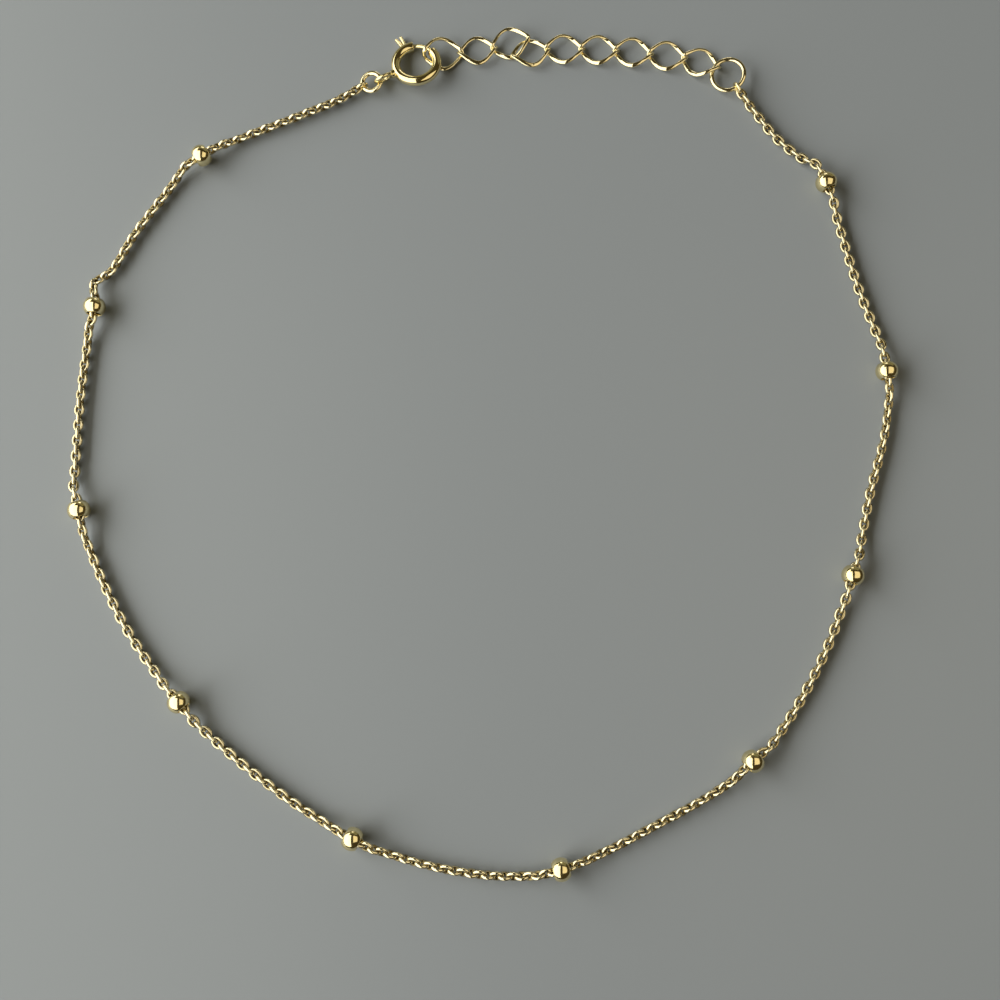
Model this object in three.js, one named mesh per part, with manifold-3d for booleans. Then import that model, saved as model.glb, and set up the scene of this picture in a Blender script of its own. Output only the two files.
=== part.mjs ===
// A chain anklet laid down in its closed loop: a fine cable chain threaded through ten drilled
// beads, an extender of rhombic links, and a spring ring clasp hooked into the last of them.
// Millimetres, +Z up, with the origin on the surface under the middle of the loop.
import * as THREE from "three";
import * as BufferGeometryUtils from "three/addons/utils/BufferGeometryUtils.js";
import Module from "manifold-3d";

const wasm = await Module();
wasm.setup();

// Fine chain: the tube stands for the cable links, whose wire and length the end links show
const chainWidth = 1.0;
const chainSides = 8;
const chainRise = 3.4; // how far from a bead's mouth the chain comes down to the surface
const stepsPerRun = 7;
const stepsLastRun = 6;
const endLinkLength = 1.38;
const endLinkWidth = 1.18;
const endLinkWire = 0.31;
const endLinkGap = 0.3; // from the end link to the tube's end face

// Beads
const beadDiameter = 2.08;
const beadBore = 1.26;
const beadSides = 14;
const beadBands = 8;
const boreStraight = 0.15; // chain that stays on the bore's axis past each mouth

// Extender
const linkLength = 4.24;
const linkWidth = 3.24;
const linkWire = 0.34;
const linkCornerPower = 1.26; // 1 is a sharp rhombus, 2 an oval
const linkRise = 0.44; // height between a wire that lies on the surface and one that crosses it
const linkSegments = 36;
const wireSides = 6;

// Spring ring clasp, in its own flat frame: angles run anticlockwise from the extender's side
const clasp = {
  x: -8.43,
  y: 44.34,
  outer: 5.15,
  tube: 0.97,
  channel: 0.56,
  tiltNear: 8, // degrees that the edge towards the loop is raised
  tiltRight: 2.5, // degrees that the extender's side is raised
  gapStart: 43,
  gapEnd: 99,
  boltWire: 0.42,
  boltNose: 30,
  boltTail: 152,
  socketEnd: 20,
  channelEnd: 218,
  tabAngle: 121.5,
  tabReach: 1.55, // from the ring's centre line to the tips of the fork
  tabSpread: 0.53,
  tabProng: 0.36,
  slotHeight: 0.46,
  slotMargin: 3,
  travel: 52, // degrees that the bolt slides back to open
  eyeAngle: 207,
  eyeLength: 2.16,
  eyeHeight: 1.9,
  eyeWire: 0.4,
  eyeSink: 0.03, // how far the eye reaches into the tube
  eyeLean: 26, // degrees that the eye's top leans towards the loop
  collarLength: 0.5,
};

// Jump rings, from what they hang on: slopes are the rise per millimetre along x and y
const claspJumpRing = {
  outer: 2.28,
  wire: 0.41,
  play: 0.12,
  turn: 190,
  z: 0.74,
  slopeX: 0.14,
  slopeY: 0.04,
};
const extenderRing = {
  outer: 3.54,
  wire: 0.37,
  play: 0.1,
  turn: -46,
  z: 0.8,
  slopeX: 0.2,
  slopeY: 0.1,
};

// Where the chain's end links sit on the jump rings, as angles round each ring
const startLinkAngle = 205;
const endLinkAngle = -60;

// Extender links from the clasp outwards: turn in degrees, how far each has slipped from its
// tip to tip place as shares of the link's length, and the wire's height above the surface, in
// crossings, at far right, far, far left, near left, near and near right
const linkPlay = 0.08;
const firstLink = { x: 2.69, y: 1.26 }; // from the clasp's middle
const extenderLinks = [
  { turn: 6, slip: [0, 0], levels: [1.0, 1.6, 2.5, 0.15, 0, 0] },
  { turn: 9, slip: [0, 0], levels: [0, 0.2, 0, 1.1, 0.7, 1] },
  { turn: 16, slip: [-0.015, 0], levels: [1.2, 1, 1, 0, 0, 1] },
  { turn: 14, slip: [-0.3, -0.45], levels: [0, 0, 0.9, 1.2, 0.7, 1] },
  { turn: 0, slip: [0, 0], levels: [0, 0.5, 1, 0, 0.5, 1] },
  { turn: -3, slip: [0, 0], levels: [0, 0.5, 1, 0, 0.5, 1] },
  { turn: -6, slip: [0, 0], levels: [0, 0.5, 1, 0, 0.5, 1] },
  { turn: -7, slip: [0, 0], levels: [0, 0.5, 1, 0, 0.5, 1] },
  { turn: -20, slip: [0, 0], levels: [0, 0.5, 1, 0, 0.9, 2.05] },
];

// The chain's route as it lies: the beads' places, and the points of each run between them
const beadPlaces = [
  [-29.5, 34.3], [-39.1, 18.7], [-39.3, -1.1], [-29.1, -18.7], [-13.1, -30.6],
  [5.4, -33.2], [22.7, -23.9], [32.6, -7.2], [36.9, 12.3], [32.1, 31.5],
];
const chainRuns = [
  [[-16.3, 40.5], [-19.2, 39.2], [-22.0, 38.0], [-24.7, 36.9], [-26.9, 35.9]],
  [[-31.2, 33.1], [-33.1, 30.4], [-35.9, 26.2], [-37.1, 23.9], [-38.0, 22.4], [-38.9, 21.7], [-39.4, 21.0]],
  [[-39.5, 16.8], [-40.0, 11.2], [-40.1, 5.6], [-40.0, 1.0]],
  [[-38.8, -3.3], [-37.3, -6.8], [-34.3, -12.2], [-30.8, -16.9]],
  [[-27.6, -20.5], [-23.1, -24.3], [-18.0, -27.9], [-15.2, -29.5]],
  [[-11.5, -31.4], [-6.6, -32.9], [-1.0, -33.8], [2.7, -33.8]],
  [[8.9, -32.0], [14.2, -29.4], [19.3, -26.7], [21.0, -25.5]],
  [[24.3, -22.7], [27.1, -19.0], [30.0, -13.9], [31.7, -9.9]],
  [[33.4, -5.1], [34.8, 0.5], [36.5, 6.1], [37.1, 9.9]],
  [[36.6, 15.2], [34.9, 20.6], [33.5, 26.4], [32.8, 29.4]],
  [[31.2, 33.5], [29.8, 34.4], [27.6, 36.4], [25.8, 38.8]],
];

const gold = new THREE.MeshStandardMaterial({ color: 0xd8b45a, roughness: 0.18, metalness: 1 });
const fullTurn = 360;
const degree = (2 * Math.PI) / fullTurn;

// A closed mesh as a solid that can be joined and cut
function toSolid(geometry) {
  const merged = geometry.clone();
  merged.deleteAttribute("normal");
  merged.deleteAttribute("uv");
  const welded = BufferGeometryUtils.mergeVertices(merged, 1e-4);
  return new wasm.Manifold(new wasm.Mesh({
    numProp: 3,
    vertProperties: new Float32Array(welded.attributes.position.array),
    triVerts: new Uint32Array(welded.index.array),
  }));
}

function toGeometry(solid) {
  const mesh = solid.getMesh();
  const geometry = new THREE.BufferGeometry();
  geometry.setAttribute("position", new THREE.BufferAttribute(mesh.vertProperties, 3));
  geometry.setIndex(new THREE.BufferAttribute(mesh.triVerts, 1));
  return geometry;
}

function named(name, geometry) {
  const mesh = new THREE.Mesh(geometry, gold);
  mesh.name = name;
  return mesh;
}

// A regular section whose flat side lies towards the sweep's first axis
function roundSection(diameter, sides) {
  const corners = [];
  for (let i = 0; i < sides; i += 1) {
    const angle = (2 * Math.PI * (i + 0.5)) / sides;
    corners.push(new THREE.Vector2(Math.cos(angle), Math.sin(angle)).multiplyScalar(diameter / 2));
  }
  return new THREE.Shape(corners);
}

// An arc about the origin in the flat plane, by angles in degrees
class FlatArc extends THREE.Curve {
  constructor(radius, from, to) {
    super();
    this.radius = radius;
    this.from = from;
    this.to = to;
  }

  getPoint(t, target = new THREE.Vector3()) {
    const angle = (this.from + (this.to - this.from) * t) * degree;
    return target.set(this.radius * Math.cos(angle), this.radius * Math.sin(angle), 0);
  }
}

function arcTube(radius, from, to, diameter, sides, degreesPerStep) {
  const steps = Math.max(3, Math.ceil(Math.abs(to - from) / degreesPerStep));
  return new THREE.ExtrudeGeometry(roundSection(diameter, sides), {
    steps,
    extrudePath: new FlatArc(radius, from, to),
  });
}

// The extender link's centre line: a rhombus with soft corners whose height follows the six
// levels, so that it lies under one neighbour and over the other
class ExtenderLinkCurve extends THREE.Curve {
  constructor(row) {
    super();
    this.levels = row.levels;
  }

  levelAt(angle) {
    const stations = [10, 90, 170, 190, 270, 350];
    const place = angle < stations[0] ? angle + fullTurn : angle;
    let index = 0;
    while (index < 5 && place >= stations[index + 1]) index += 1;
    const next = (index + 1) % 6;
    const end = stations[next] + (next === 0 ? fullTurn : 0);
    const share = (place - stations[index]) / (end - stations[index]);
    const eased = (1 - Math.cos(Math.PI * share)) / 2;
    return this.levels[index] + (this.levels[next] - this.levels[index]) * eased;
  }

  getPoint(t, target = new THREE.Vector3()) {
    const angle = 2 * Math.PI * t;
    const halfLength = (linkLength - linkWire) / 2;
    const halfWidth = (linkWidth - linkWire) / 2;
    const along = Math.cos(angle);
    const across = Math.sin(angle);
    const reach = (Math.abs(along / halfLength) ** linkCornerPower
      + Math.abs(across / halfWidth) ** linkCornerPower) ** (-1 / linkCornerPower);
    const level = this.levelAt(angle / degree);
    return target.set(reach * along, reach * across, linkWire / 2 + linkRise * level);
  }
}

// A step of a length in the flat plane, turned by degrees
function flatStep(length, turn) {
  return new THREE.Vector2(length * Math.cos(turn * degree), length * Math.sin(turn * degree));
}

// The links' middles, walked outwards from the clasp, each link's tip just inside the next
function placeExtender() {
  const halfPitch = (linkLength - linkPlay) / 2 - linkWire;
  const place = new THREE.Vector2(clasp.x + firstLink.x, clasp.y + firstLink.y);
  return extenderLinks.map((row, index) => {
    if (index > 0) {
      place.add(flatStep(halfPitch, extenderLinks[index - 1].turn)).add(flatStep(halfPitch, row.turn));
    }
    place.x += row.slip[0] * linkLength;
    place.y += row.slip[1] * linkLength;
    return place.clone();
  });
}

function makeExtender(places) {
  const group = new THREE.Group();
  extenderLinks.forEach((row, index) => {
    const curve = new ExtenderLinkCurve(row);
    const link = named(
      `extender_link_${index + 1}`,
      new THREE.TubeGeometry(curve, linkSegments, linkWire / 2, wireSides, true),
    );
    link.position.set(places[index].x, places[index].y, 0);
    link.rotation.z = row.turn * degree;
    group.add(link);
  });
  return group;
}

// The extender's ring takes the last link's outer tip
function placeExtenderRing(places) {
  const last = extenderLinks.length - 1;
  return places[last].clone()
    .add(flatStep(linkLength / 2 - linkWire, extenderLinks[last].turn))
    .add(flatStep(extenderRing.outer / 2 - extenderRing.wire - extenderRing.play, extenderRing.turn));
}

// From the clasp's middle to the eye's, which is soldered to the outside of the tube
function eyeReach() {
  return (clasp.outer + clasp.eyeLength) / 2 - clasp.eyeSink;
}

// The clasp's jump ring passes through the eye, just inside its outer end
function placeClaspJumpRing() {
  const offset = clasp.eyeLength / 2 - clasp.eyeWire - claspJumpRing.wire / 2 - claspJumpRing.play;
  return new THREE.Vector2(clasp.x, clasp.y)
    .add(flatStep(eyeReach(), clasp.eyeAngle))
    .add(flatStep(offset, clasp.eyeAngle))
    .add(flatStep((claspJumpRing.outer - claspJumpRing.wire) / 2, claspJumpRing.turn));
}

// A round wire ring leaning by its slopes
function makeRing(name, ring, place) {
  const radius = (ring.outer - ring.wire) / 2;
  const segments = 28;
  const mesh = named(name, new THREE.TorusGeometry(radius, ring.wire / 2, wireSides, segments));
  const normal = new THREE.Vector3(-ring.slopeX, -ring.slopeY, 1).normalize();
  mesh.quaternion.setFromUnitVectors(new THREE.Vector3(0, 0, 1), normal);
  mesh.position.set(place.x, place.y, ring.z);
  return mesh;
}

// Height of a leaning ring's wire at an angle round it
function ringHeight(ring, angle) {
  const radius = (ring.outer - ring.wire) / 2;
  return ring.z + radius * (ring.slopeX * Math.cos(angle) + ring.slopeY * Math.sin(angle));
}

// The oval cable link that hangs on a jump ring, standing on edge along the ring's radius
class OvalCurve extends THREE.Curve {
  getPoint(t, target = new THREE.Vector3()) {
    const angle = 2 * Math.PI * t;
    const halfLength = (endLinkLength - endLinkWire) / 2;
    const halfWidth = (endLinkWidth - endLinkWire) / 2;
    return target.set(halfLength * Math.cos(angle), 0, halfWidth * Math.sin(angle));
  }
}

function endLinkPlace(ring, middle, angleDegrees) {
  const angle = angleDegrees * degree;
  const clearance = 0.05;
  const ringRadius = (ring.outer - ring.wire) / 2;
  const reach = ringRadius + endLinkLength / 2 - endLinkWire - ring.wire / 2 - clearance;
  return {
    x: middle.x + reach * Math.cos(angle),
    y: middle.y + reach * Math.sin(angle),
    z: Math.max(endLinkWidth / 2, ringHeight(ring, angle)),
    turn: angle,
  };
}

function makeEndLink(name, place) {
  const segments = 20;
  const link = named(
    name,
    new THREE.TubeGeometry(new OvalCurve(), segments, endLinkWire / 2, wireSides, true),
  );
  link.position.set(place.x, place.y, place.z);
  link.rotation.z = place.turn;
  return link;
}

// The chain's centre line: a smooth plan through the route's points, straight through each
// bore, at bore height near the beads and on the surface between them. Parameter 0 to 1 takes
// equal steps inside each run, so that a section always stands at each bead's mouths.
class ChainCurve extends THREE.Curve {
  constructor(runs) {
    super();
    this.runs = runs;
    this.totalSteps = runs.reduce((sum, run) => sum + run.steps, 0);
  }

  getPoint(t, target = new THREE.Vector3()) {
    let place = t * this.totalSteps;
    let index = 0;
    while (index < this.runs.length - 1 && place > this.runs[index].steps) {
      place -= this.runs[index].steps;
      index += 1;
    }
    const run = this.runs[index];
    const share = Math.min(1, Math.max(0, place / run.steps));
    const plan = run.plan.getPointAt(share);
    const length = run.plan.getLength();
    const fromStart = run.beadAtStart ? this.lift(length * share) : 0;
    const fromEnd = run.beadAtEnd ? this.lift(length * (1 - share)) : 0;
    const endLift = run.endHeight ? (run.endHeight - layHeight) * run.endShare(share, length) : 0;
    return target.set(plan.x, plan.y, layHeight + Math.max(fromStart, fromEnd) + endLift);
  }

  // Height above the lying chain, by distance from a bead's mouth
  lift(distance) {
    const share = Math.min(1, Math.max(0, distance / chainRise));
    return (beadDiameter / 2 - layHeight) * (1 + Math.cos(Math.PI * share)) / 2;
  }

  getPointAt(u, target) {
    return this.getPoint(u, target);
  }

  getTangentAt(u, target) {
    return this.getTangent(u, target);
  }

  // Frames whose first axis points down, so that the tube's flat side lies on the surface
  computeFrenetFrames(segments) {
    const down = new THREE.Vector3(0, 0, -1);
    const frames = { tangents: [], normals: [], binormals: [] };
    for (let i = 0; i <= segments; i += 1) {
      const tangent = this.getTangentAt(i / segments).normalize();
      const normal = down.clone().addScaledVector(tangent, -down.dot(tangent)).normalize();
      frames.tangents.push(tangent);
      frames.normals.push(normal);
      frames.binormals.push(new THREE.Vector3().crossVectors(tangent, normal));
    }
    return frames;
  }
}

const layHeight = (chainWidth / 2) * Math.cos(Math.PI / chainSides);
const beadHalfLength = Math.sqrt(beadDiameter ** 2 - beadBore ** 2) / 2;

function beadAxis(index) {
  const before = chainRuns[index][chainRuns[index].length - 1];
  const after = chainRuns[index + 1][0];
  return new THREE.Vector2(after[0] - before[0], after[1] - before[1]).normalize();
}

// The tube's end beside an end link, out along the ring's radius
function tubeEnd(place) {
  const reach = endLinkLength / 2 + endLinkGap;
  return new THREE.Vector3(
    place.x + reach * Math.cos(place.turn),
    place.y + reach * Math.sin(place.turn),
    place.z,
  );
}

function makeChain(startLink, endLink) {
  const reach = beadHalfLength + boreStraight;
  const mouth = (index, side) => {
    const axis = beadAxis(index);
    return new THREE.Vector3(
      beadPlaces[index][0] + side * reach * axis.x,
      beadPlaces[index][1] + side * reach * axis.y,
      0,
    );
  };
  const start = tubeEnd(startLink);
  const end = tubeEnd(endLink);
  const endReach = 2.5;
  const runs = [];
  chainRuns.forEach((points, index) => {
    const inner = points.map(([x, y]) => new THREE.Vector3(x, y, 0));
    const last = index === chainRuns.length - 1;
    const first = index === 0 ? new THREE.Vector3(start.x, start.y, 0) : mouth(index - 1, 1);
    const final = last ? new THREE.Vector3(end.x, end.y, 0) : mouth(index, -1);
    const run = {
      plan: new THREE.CatmullRomCurve3([first, ...inner, final], false, "centripetal"),
      steps: last ? stepsLastRun : stepsPerRun,
      beadAtStart: index > 0,
      beadAtEnd: !last,
    };
    if (index === 0) {
      run.endHeight = start.z;
      run.endShare = (share, length) => Math.max(0, 1 - (share * length) / endReach);
    }
    if (last) {
      run.endHeight = end.z;
      run.endShare = (share, length) => Math.max(0, 1 - ((1 - share) * length) / endReach);
    }
    runs.push(run);
    if (!last) {
      runs.push({
        plan: new THREE.LineCurve3(mouth(index, -1), mouth(index, 1)),
        steps: 1,
        beadAtStart: true,
        beadAtEnd: true,
      });
    }
  });
  const curve = new ChainCurve(runs);
  const geometry = new THREE.ExtrudeGeometry(roundSection(chainWidth, chainSides), {
    steps: curve.totalSteps,
    extrudePath: curve,
  });
  return named("fine_chain", geometry);
}

// A ball drilled through, turned about its bore
function makeBeads() {
  const group = new THREE.Group();
  const half = Math.asin(beadHalfLength / (beadDiameter / 2));
  const profile = [];
  for (let i = 0; i <= beadBands; i += 1) {
    const angle = -half + (2 * half * i) / beadBands;
    profile.push(new THREE.Vector2(Math.cos(angle), Math.sin(angle)).multiplyScalar(beadDiameter / 2));
  }
  profile.push(profile[0].clone());
  beadPlaces.forEach(([x, y], index) => {
    const axis = beadAxis(index);
    const number = String(index + 1).padStart(2, "0");
    const bead = named(`bead_${number}`, new THREE.LatheGeometry(profile, beadSides));
    bead.quaternion.setFromUnitVectors(new THREE.Vector3(0, 1, 0), new THREE.Vector3(axis.x, axis.y, 0));
    bead.position.set(x, y, beadDiameter / 2);
    group.add(bead);
  });
  return group;
}

// The clasp's ring: a bent tube with a gap, a channel for the bolt from the gap round past the
// tab, a blind socket for its nose, a slot for the tab, and an eye soldered on at its back
function makeClaspRing() {
  const radius = (clasp.outer - clasp.tube) / 2;
  const tubeSides = 12;
  const channelSides = 8;
  const degreesPerStep = 9;
  const overrun = 3;
  const body = toSolid(
    arcTube(radius, clasp.gapEnd, fullTurn + clasp.gapStart, clasp.tube, tubeSides, degreesPerStep),
  );
  const channel = toSolid(
    arcTube(radius, clasp.gapEnd - overrun, clasp.channelEnd, clasp.channel, channelSides, degreesPerStep),
  );
  const socket = toSolid(
    arcTube(radius, clasp.socketEnd, clasp.gapStart + overrun, clasp.channel, channelSides, degreesPerStep),
  );
  const slotStart = (clasp.tabAngle - tabHalfAngle() - clasp.slotMargin) * degree;
  const slotEnd = (clasp.tabAngle + tabHalfAngle() + clasp.travel + clasp.slotMargin) * degree;
  const wedge = new THREE.Shape();
  wedge.absarc(0, 0, radius, slotStart, slotEnd, false);
  wedge.absarc(0, 0, radius + clasp.tube, slotEnd, slotStart, true);
  const slotGeometry = new THREE.ExtrudeGeometry(wedge, {
    depth: clasp.slotHeight,
    bevelEnabled: false,
    curveSegments: 12,
  });
  slotGeometry.translate(0, 0, -clasp.slotHeight / 2);
  const eyeSegments = 24;
  const eyeAngle = clasp.eyeAngle * degree;
  const eyeRadius = (clasp.eyeHeight - clasp.eyeWire) / 2;
  const eye = new THREE.TorusGeometry(eyeRadius, clasp.eyeWire / 2, wireSides, eyeSegments);
  eye.scale(clasp.eyeLength / clasp.eyeHeight, 1, 1);
  eye.rotateX(Math.PI / 2 - clasp.eyeLean * degree);
  eye.rotateZ(eyeAngle);
  eye.translate(eyeReach() * Math.cos(eyeAngle), eyeReach() * Math.sin(eyeAngle), 0);
  const collarSides = 10;
  const collar = new THREE.CylinderGeometry(
    clasp.eyeWire * 0.85,
    clasp.eyeWire * 1.15,
    clasp.collarLength,
    collarSides,
  );
  const seat = radius + clasp.tube / 2;
  collar.rotateZ(-Math.PI / 2);
  collar.translate(seat, 0, 0);
  collar.rotateZ(eyeAngle);
  const shell = body.add(toSolid(eye)).add(toSolid(collar));
  return toGeometry(shell.subtract(channel).subtract(socket).subtract(toSolid(slotGeometry)));
}

// Half the angle that the fork's two prongs take up at the ring's centre line
function tabHalfAngle() {
  const radius = (clasp.outer - clasp.tube) / 2;
  return ((clasp.tabSpread + clasp.tabProng) / 2 / radius) / degree;
}

// The bolt: a bent wire that closes the gap, with the forked tab standing out through the slot
function makeClaspBolt() {
  const radius = (clasp.outer - clasp.tube) / 2;
  const boltSides = 8;
  const degreesPerStep = 7;
  let solid = toSolid(
    arcTube(radius, clasp.boltNose, clasp.boltTail, clasp.boltWire, boltSides, degreesPerStep),
  );
  const prongSides = 8;
  for (const side of [-1, 1]) {
    const prong = new THREE.CylinderGeometry(
      clasp.tabProng / 2,
      clasp.tabProng / 2,
      clasp.tabReach,
      prongSides,
    );
    prong.rotateZ(-Math.PI / 2);
    prong.translate(radius + clasp.tabReach / 2, side * clasp.tabSpread / 2, 0);
    prong.rotateZ(clasp.tabAngle * degree);
    solid = solid.add(toSolid(prong));
  }
  return toGeometry(solid);
}

// The clasp leans with its near edge raised; its lowest point stays on the surface
function makeClasp() {
  const group = new THREE.Group();
  group.add(named("clasp_ring", makeClaspRing()));
  group.add(named("clasp_bolt", makeClaspBolt()));
  const lean = new THREE.Euler(-clasp.tiltNear * degree, -clasp.tiltRight * degree, 0);
  group.rotation.copy(lean);
  const up = new THREE.Vector3(0, 0, 1).applyEuler(lean);
  const radius = (clasp.outer - clasp.tube) / 2;
  const clearance = 0.03;
  group.position.set(
    clasp.x,
    clasp.y,
    clasp.tube / 2 + radius * Math.sqrt(1 - up.z ** 2) + clearance,
  );
  return group;
}

const linkPlaces = placeExtender();
const claspRingPlace = placeClaspJumpRing();
const extenderRingPlace = placeExtenderRing(linkPlaces);
const startLink = endLinkPlace(claspJumpRing, claspRingPlace, startLinkAngle);
const endLink = endLinkPlace(extenderRing, extenderRingPlace, endLinkAngle);

const anklet = new THREE.Group();
anklet.add(makeChain(startLink, endLink));
anklet.add(makeBeads());
anklet.add(makeEndLink("end_link_clasp", startLink));
anklet.add(makeEndLink("end_link_extender", endLink));
anklet.add(makeRing("clasp_jump_ring", claspJumpRing, claspRingPlace));
anklet.add(makeRing("extender_ring", extenderRing, extenderRingPlace));
anklet.add(makeExtender(linkPlaces));
anklet.add(makeClasp());

// Centre the loop over the origin and set its lowest point on the surface
anklet.updateMatrixWorld(true);
const box = new THREE.Box3().setFromObject(anklet, true);
const middle = box.getCenter(new THREE.Vector3());
anklet.position.set(-middle.x, -middle.y, -box.min.z);

export default anklet;
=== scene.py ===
import math

import bpy
import numpy as np
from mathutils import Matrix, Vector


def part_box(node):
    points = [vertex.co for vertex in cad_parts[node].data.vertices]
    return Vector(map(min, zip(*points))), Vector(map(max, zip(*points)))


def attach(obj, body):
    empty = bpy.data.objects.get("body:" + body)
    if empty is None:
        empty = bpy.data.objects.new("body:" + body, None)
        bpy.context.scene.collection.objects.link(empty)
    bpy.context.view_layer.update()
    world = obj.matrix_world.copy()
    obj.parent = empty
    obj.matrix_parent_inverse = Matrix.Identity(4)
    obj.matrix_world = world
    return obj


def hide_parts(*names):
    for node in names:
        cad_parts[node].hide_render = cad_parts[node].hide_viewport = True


# A gold anklet laid down in its closed loop: cable chain through ten beads, rhombic extender
# links and a spring ring clasp. Sizes in the dictionaries are millimetres and degrees.
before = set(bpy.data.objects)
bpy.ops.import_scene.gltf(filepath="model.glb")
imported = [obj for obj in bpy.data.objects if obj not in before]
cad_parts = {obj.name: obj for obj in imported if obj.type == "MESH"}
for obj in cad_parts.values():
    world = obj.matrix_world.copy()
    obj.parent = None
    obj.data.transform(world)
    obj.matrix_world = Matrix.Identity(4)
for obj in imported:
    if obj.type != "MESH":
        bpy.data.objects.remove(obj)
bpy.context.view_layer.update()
millimetre = 0.001
print("frame loaded:", len(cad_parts), "nodes")


# layout, shared by all the pieces

chain = {
    "link": {"length": 1.46, "width": 1.05, "wire": 0.35},
    "play": 0.015,          # slack between two links
    "layHeight": 0.462,     # the chain's middle where it lies
    "rise": 3.4,            # how far from a bead's mouth the chain comes down
    "boreStraight": 0.15,
    "segments": 12,
    "wireSides": 6,
    "samples": 240,         # points along each run
    "sway": 7,              # degrees that single links roll to and fro
    "seed": 4,
    "rollBlend": 3.0,       # length over which one run's roll passes into the next one's
    "settle": 6,            # length at both ends over which the links turn true to the end links
    "nestled": 0.98,        # share of its highest neighbour's height that a link lies at
    "floorGap": 0.01,
    "paintedShade": (0.5, 0.9),  # painted shade: how dark the wire is painted all round, and by how much more on its side towards its link's hole
}
bead = {
    "diameter": 2.08,
    "bore": 1.26,
    "lip": 0.07,            # rounding of the bore's mouth
    "lipSteps": 6,
    "around": 56,
    "across": 30,
}
beadPlaces = [
    (-29.5, 34.3), (-39.1, 18.7), (-39.3, -1.1), (-29.1, -18.7), (-13.1, -30.6),
    (5.4, -33.2), (22.7, -23.9), (32.6, -7.2), (36.9, 12.3), (32.1, 31.5),
]
# each run between two beads: how far its links are rolled from lying flat at its start and at
# its end, then its points
chainRuns = [
    (17, 17, [(-16.3, 40.5), (-19.2, 39.2), (-22.0, 38.0), (-24.7, 36.9), (-26.9, 35.9)]),
    (20, 20, [(-31.2, 33.1), (-33.1, 30.4), (-35.9, 26.2), (-37.1, 23.9), (-38.0, 22.4),
         (-38.9, 21.7), (-39.4, 21.0)]),
    (22, -23, [(-39.5, 16.8), (-40.0, 11.2), (-40.1, 5.6), (-40.0, 1.0)]),
    (22, -15, [(-38.8, -3.3), (-37.3, -6.8), (-34.3, -12.2), (-30.8, -16.9)]),
    (-12, 33, [(-27.6, -20.5), (-23.1, -24.3), (-18.0, -27.9), (-15.2, -29.5)]),
    (34, 34, [(-11.5, -31.4), (-6.6, -32.9), (-1.0, -33.8), (2.7, -33.8)]),
    (33, 33, [(8.9, -32.0), (14.2, -29.4), (19.3, -26.7), (21.0, -25.5)]),
    (12, -17, [(24.3, -22.7), (27.1, -19.0), (30.0, -13.9), (31.7, -9.9)]),
    (-20, 24, [(33.4, -5.1), (34.8, 0.5), (36.5, 6.1), (37.1, 9.9)]),
    (-25, -25, [(36.6, 15.2), (34.9, 20.6), (33.5, 26.4), (32.8, 29.4)]),
    (-29, -29, [(31.2, 33.5), (29.8, 34.4), (27.6, 36.4), (25.8, 38.8)]),
]


def nodeMiddle(name):
    # the middle of a CAD piece's box
    low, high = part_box(name)
    return (np.array(low) + np.array(high)) / 2 / millimetre


# the layout's zero as a point of the frame, from the first bead
layoutZero = nodeMiddle("bead_01") * (1, 1, 0) - np.array([*beadPlaces[0], 0.0])


# camera

camera = {"distance": 94.5, "elevation": 81, "sensor": 36, "lens": 36, "nearest": 2, "farthest": 20000}


def makeCamera():
    # looks down at the layout's zero from the near side
    tilt = math.radians(camera["elevation"])
    data = bpy.data.cameras.new("camera")
    data.sensor_width = camera["sensor"]
    data.lens = camera["lens"]
    data.clip_start = camera["nearest"] * millimetre
    data.clip_end = camera["farthest"] * millimetre
    piece = bpy.data.objects.new("camera", data)
    back = np.array([0, -math.cos(tilt), math.sin(tilt)]) * camera["distance"]
    piece.location = (layoutZero + back) * millimetre
    piece.rotation_euler = (math.pi / 2 - tilt, 0, 0)
    bpy.context.scene.collection.objects.link(piece)
    bpy.context.scene.camera = piece


makeCamera()


# mesh making

def gridFaces(rows, columns, wrapRows):
    # each grid cell as a quad; the columns always close on themselves
    row = np.arange(rows if wrapRows else rows - 1)[:, None]
    column = np.arange(columns)[None, :]
    nextRow = (row + 1) % rows
    nextColumn = (column + 1) % columns
    corners = (
        row * columns + column,
        row * columns + nextColumn,
        nextRow * columns + nextColumn,
        nextRow * columns + column,
    )
    return np.stack(corners, axis=-1).reshape(-1, 4)


def signedVolume(points, faces):
    # six times the volume: the sum of the corner products of each face's two triangles
    a, b, c, d = (points[faces[:, k]] for k in range(4))
    return np.einsum("ij,ij->", a, np.cross(b, c)) + np.einsum("ij,ij->", a, np.cross(c, d))


def skin(grid, wrapRows=True):
    # a grid of points (rows, columns, 3) as points and outward faces
    rows, columns = grid.shape[:2]
    points = grid.reshape(-1, 3)
    faces = gridFaces(rows, columns, wrapRows)
    if signedVolume(points - points.mean(0), faces) < 0:
        faces = faces[:, ::-1]
    return points, faces


def capped(grid):
    # an open tube whose two ends are closed by faces drawn in to their middle points
    start = np.repeat(grid[:1].mean(axis=1, keepdims=True), grid.shape[1], axis=1)
    end = np.repeat(grid[-1:].mean(axis=1, keepdims=True), grid.shape[1], axis=1)
    return np.concatenate([start, grid, end])


def makePiece(name, points, faces, material):
    # points are millimetres in the frame
    mesh = bpy.data.meshes.new(name)
    mesh.from_pydata((points * millimetre).tolist(), [], faces.tolist())
    mesh.materials.append(material)
    mesh.update()
    piece = bpy.data.objects.new(name, mesh)
    bpy.context.scene.collection.objects.link(piece)
    mesh.shade_smooth()
    return piece


def standFor(piece, body, node):
    # the piece moves with the body and is seen instead of the CAD piece
    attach(piece, body)
    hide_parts(node)


def direction(vectors):
    # each vector at a length of one
    return vectors / np.linalg.norm(vectors, axis=-1, keepdims=True)


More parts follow.
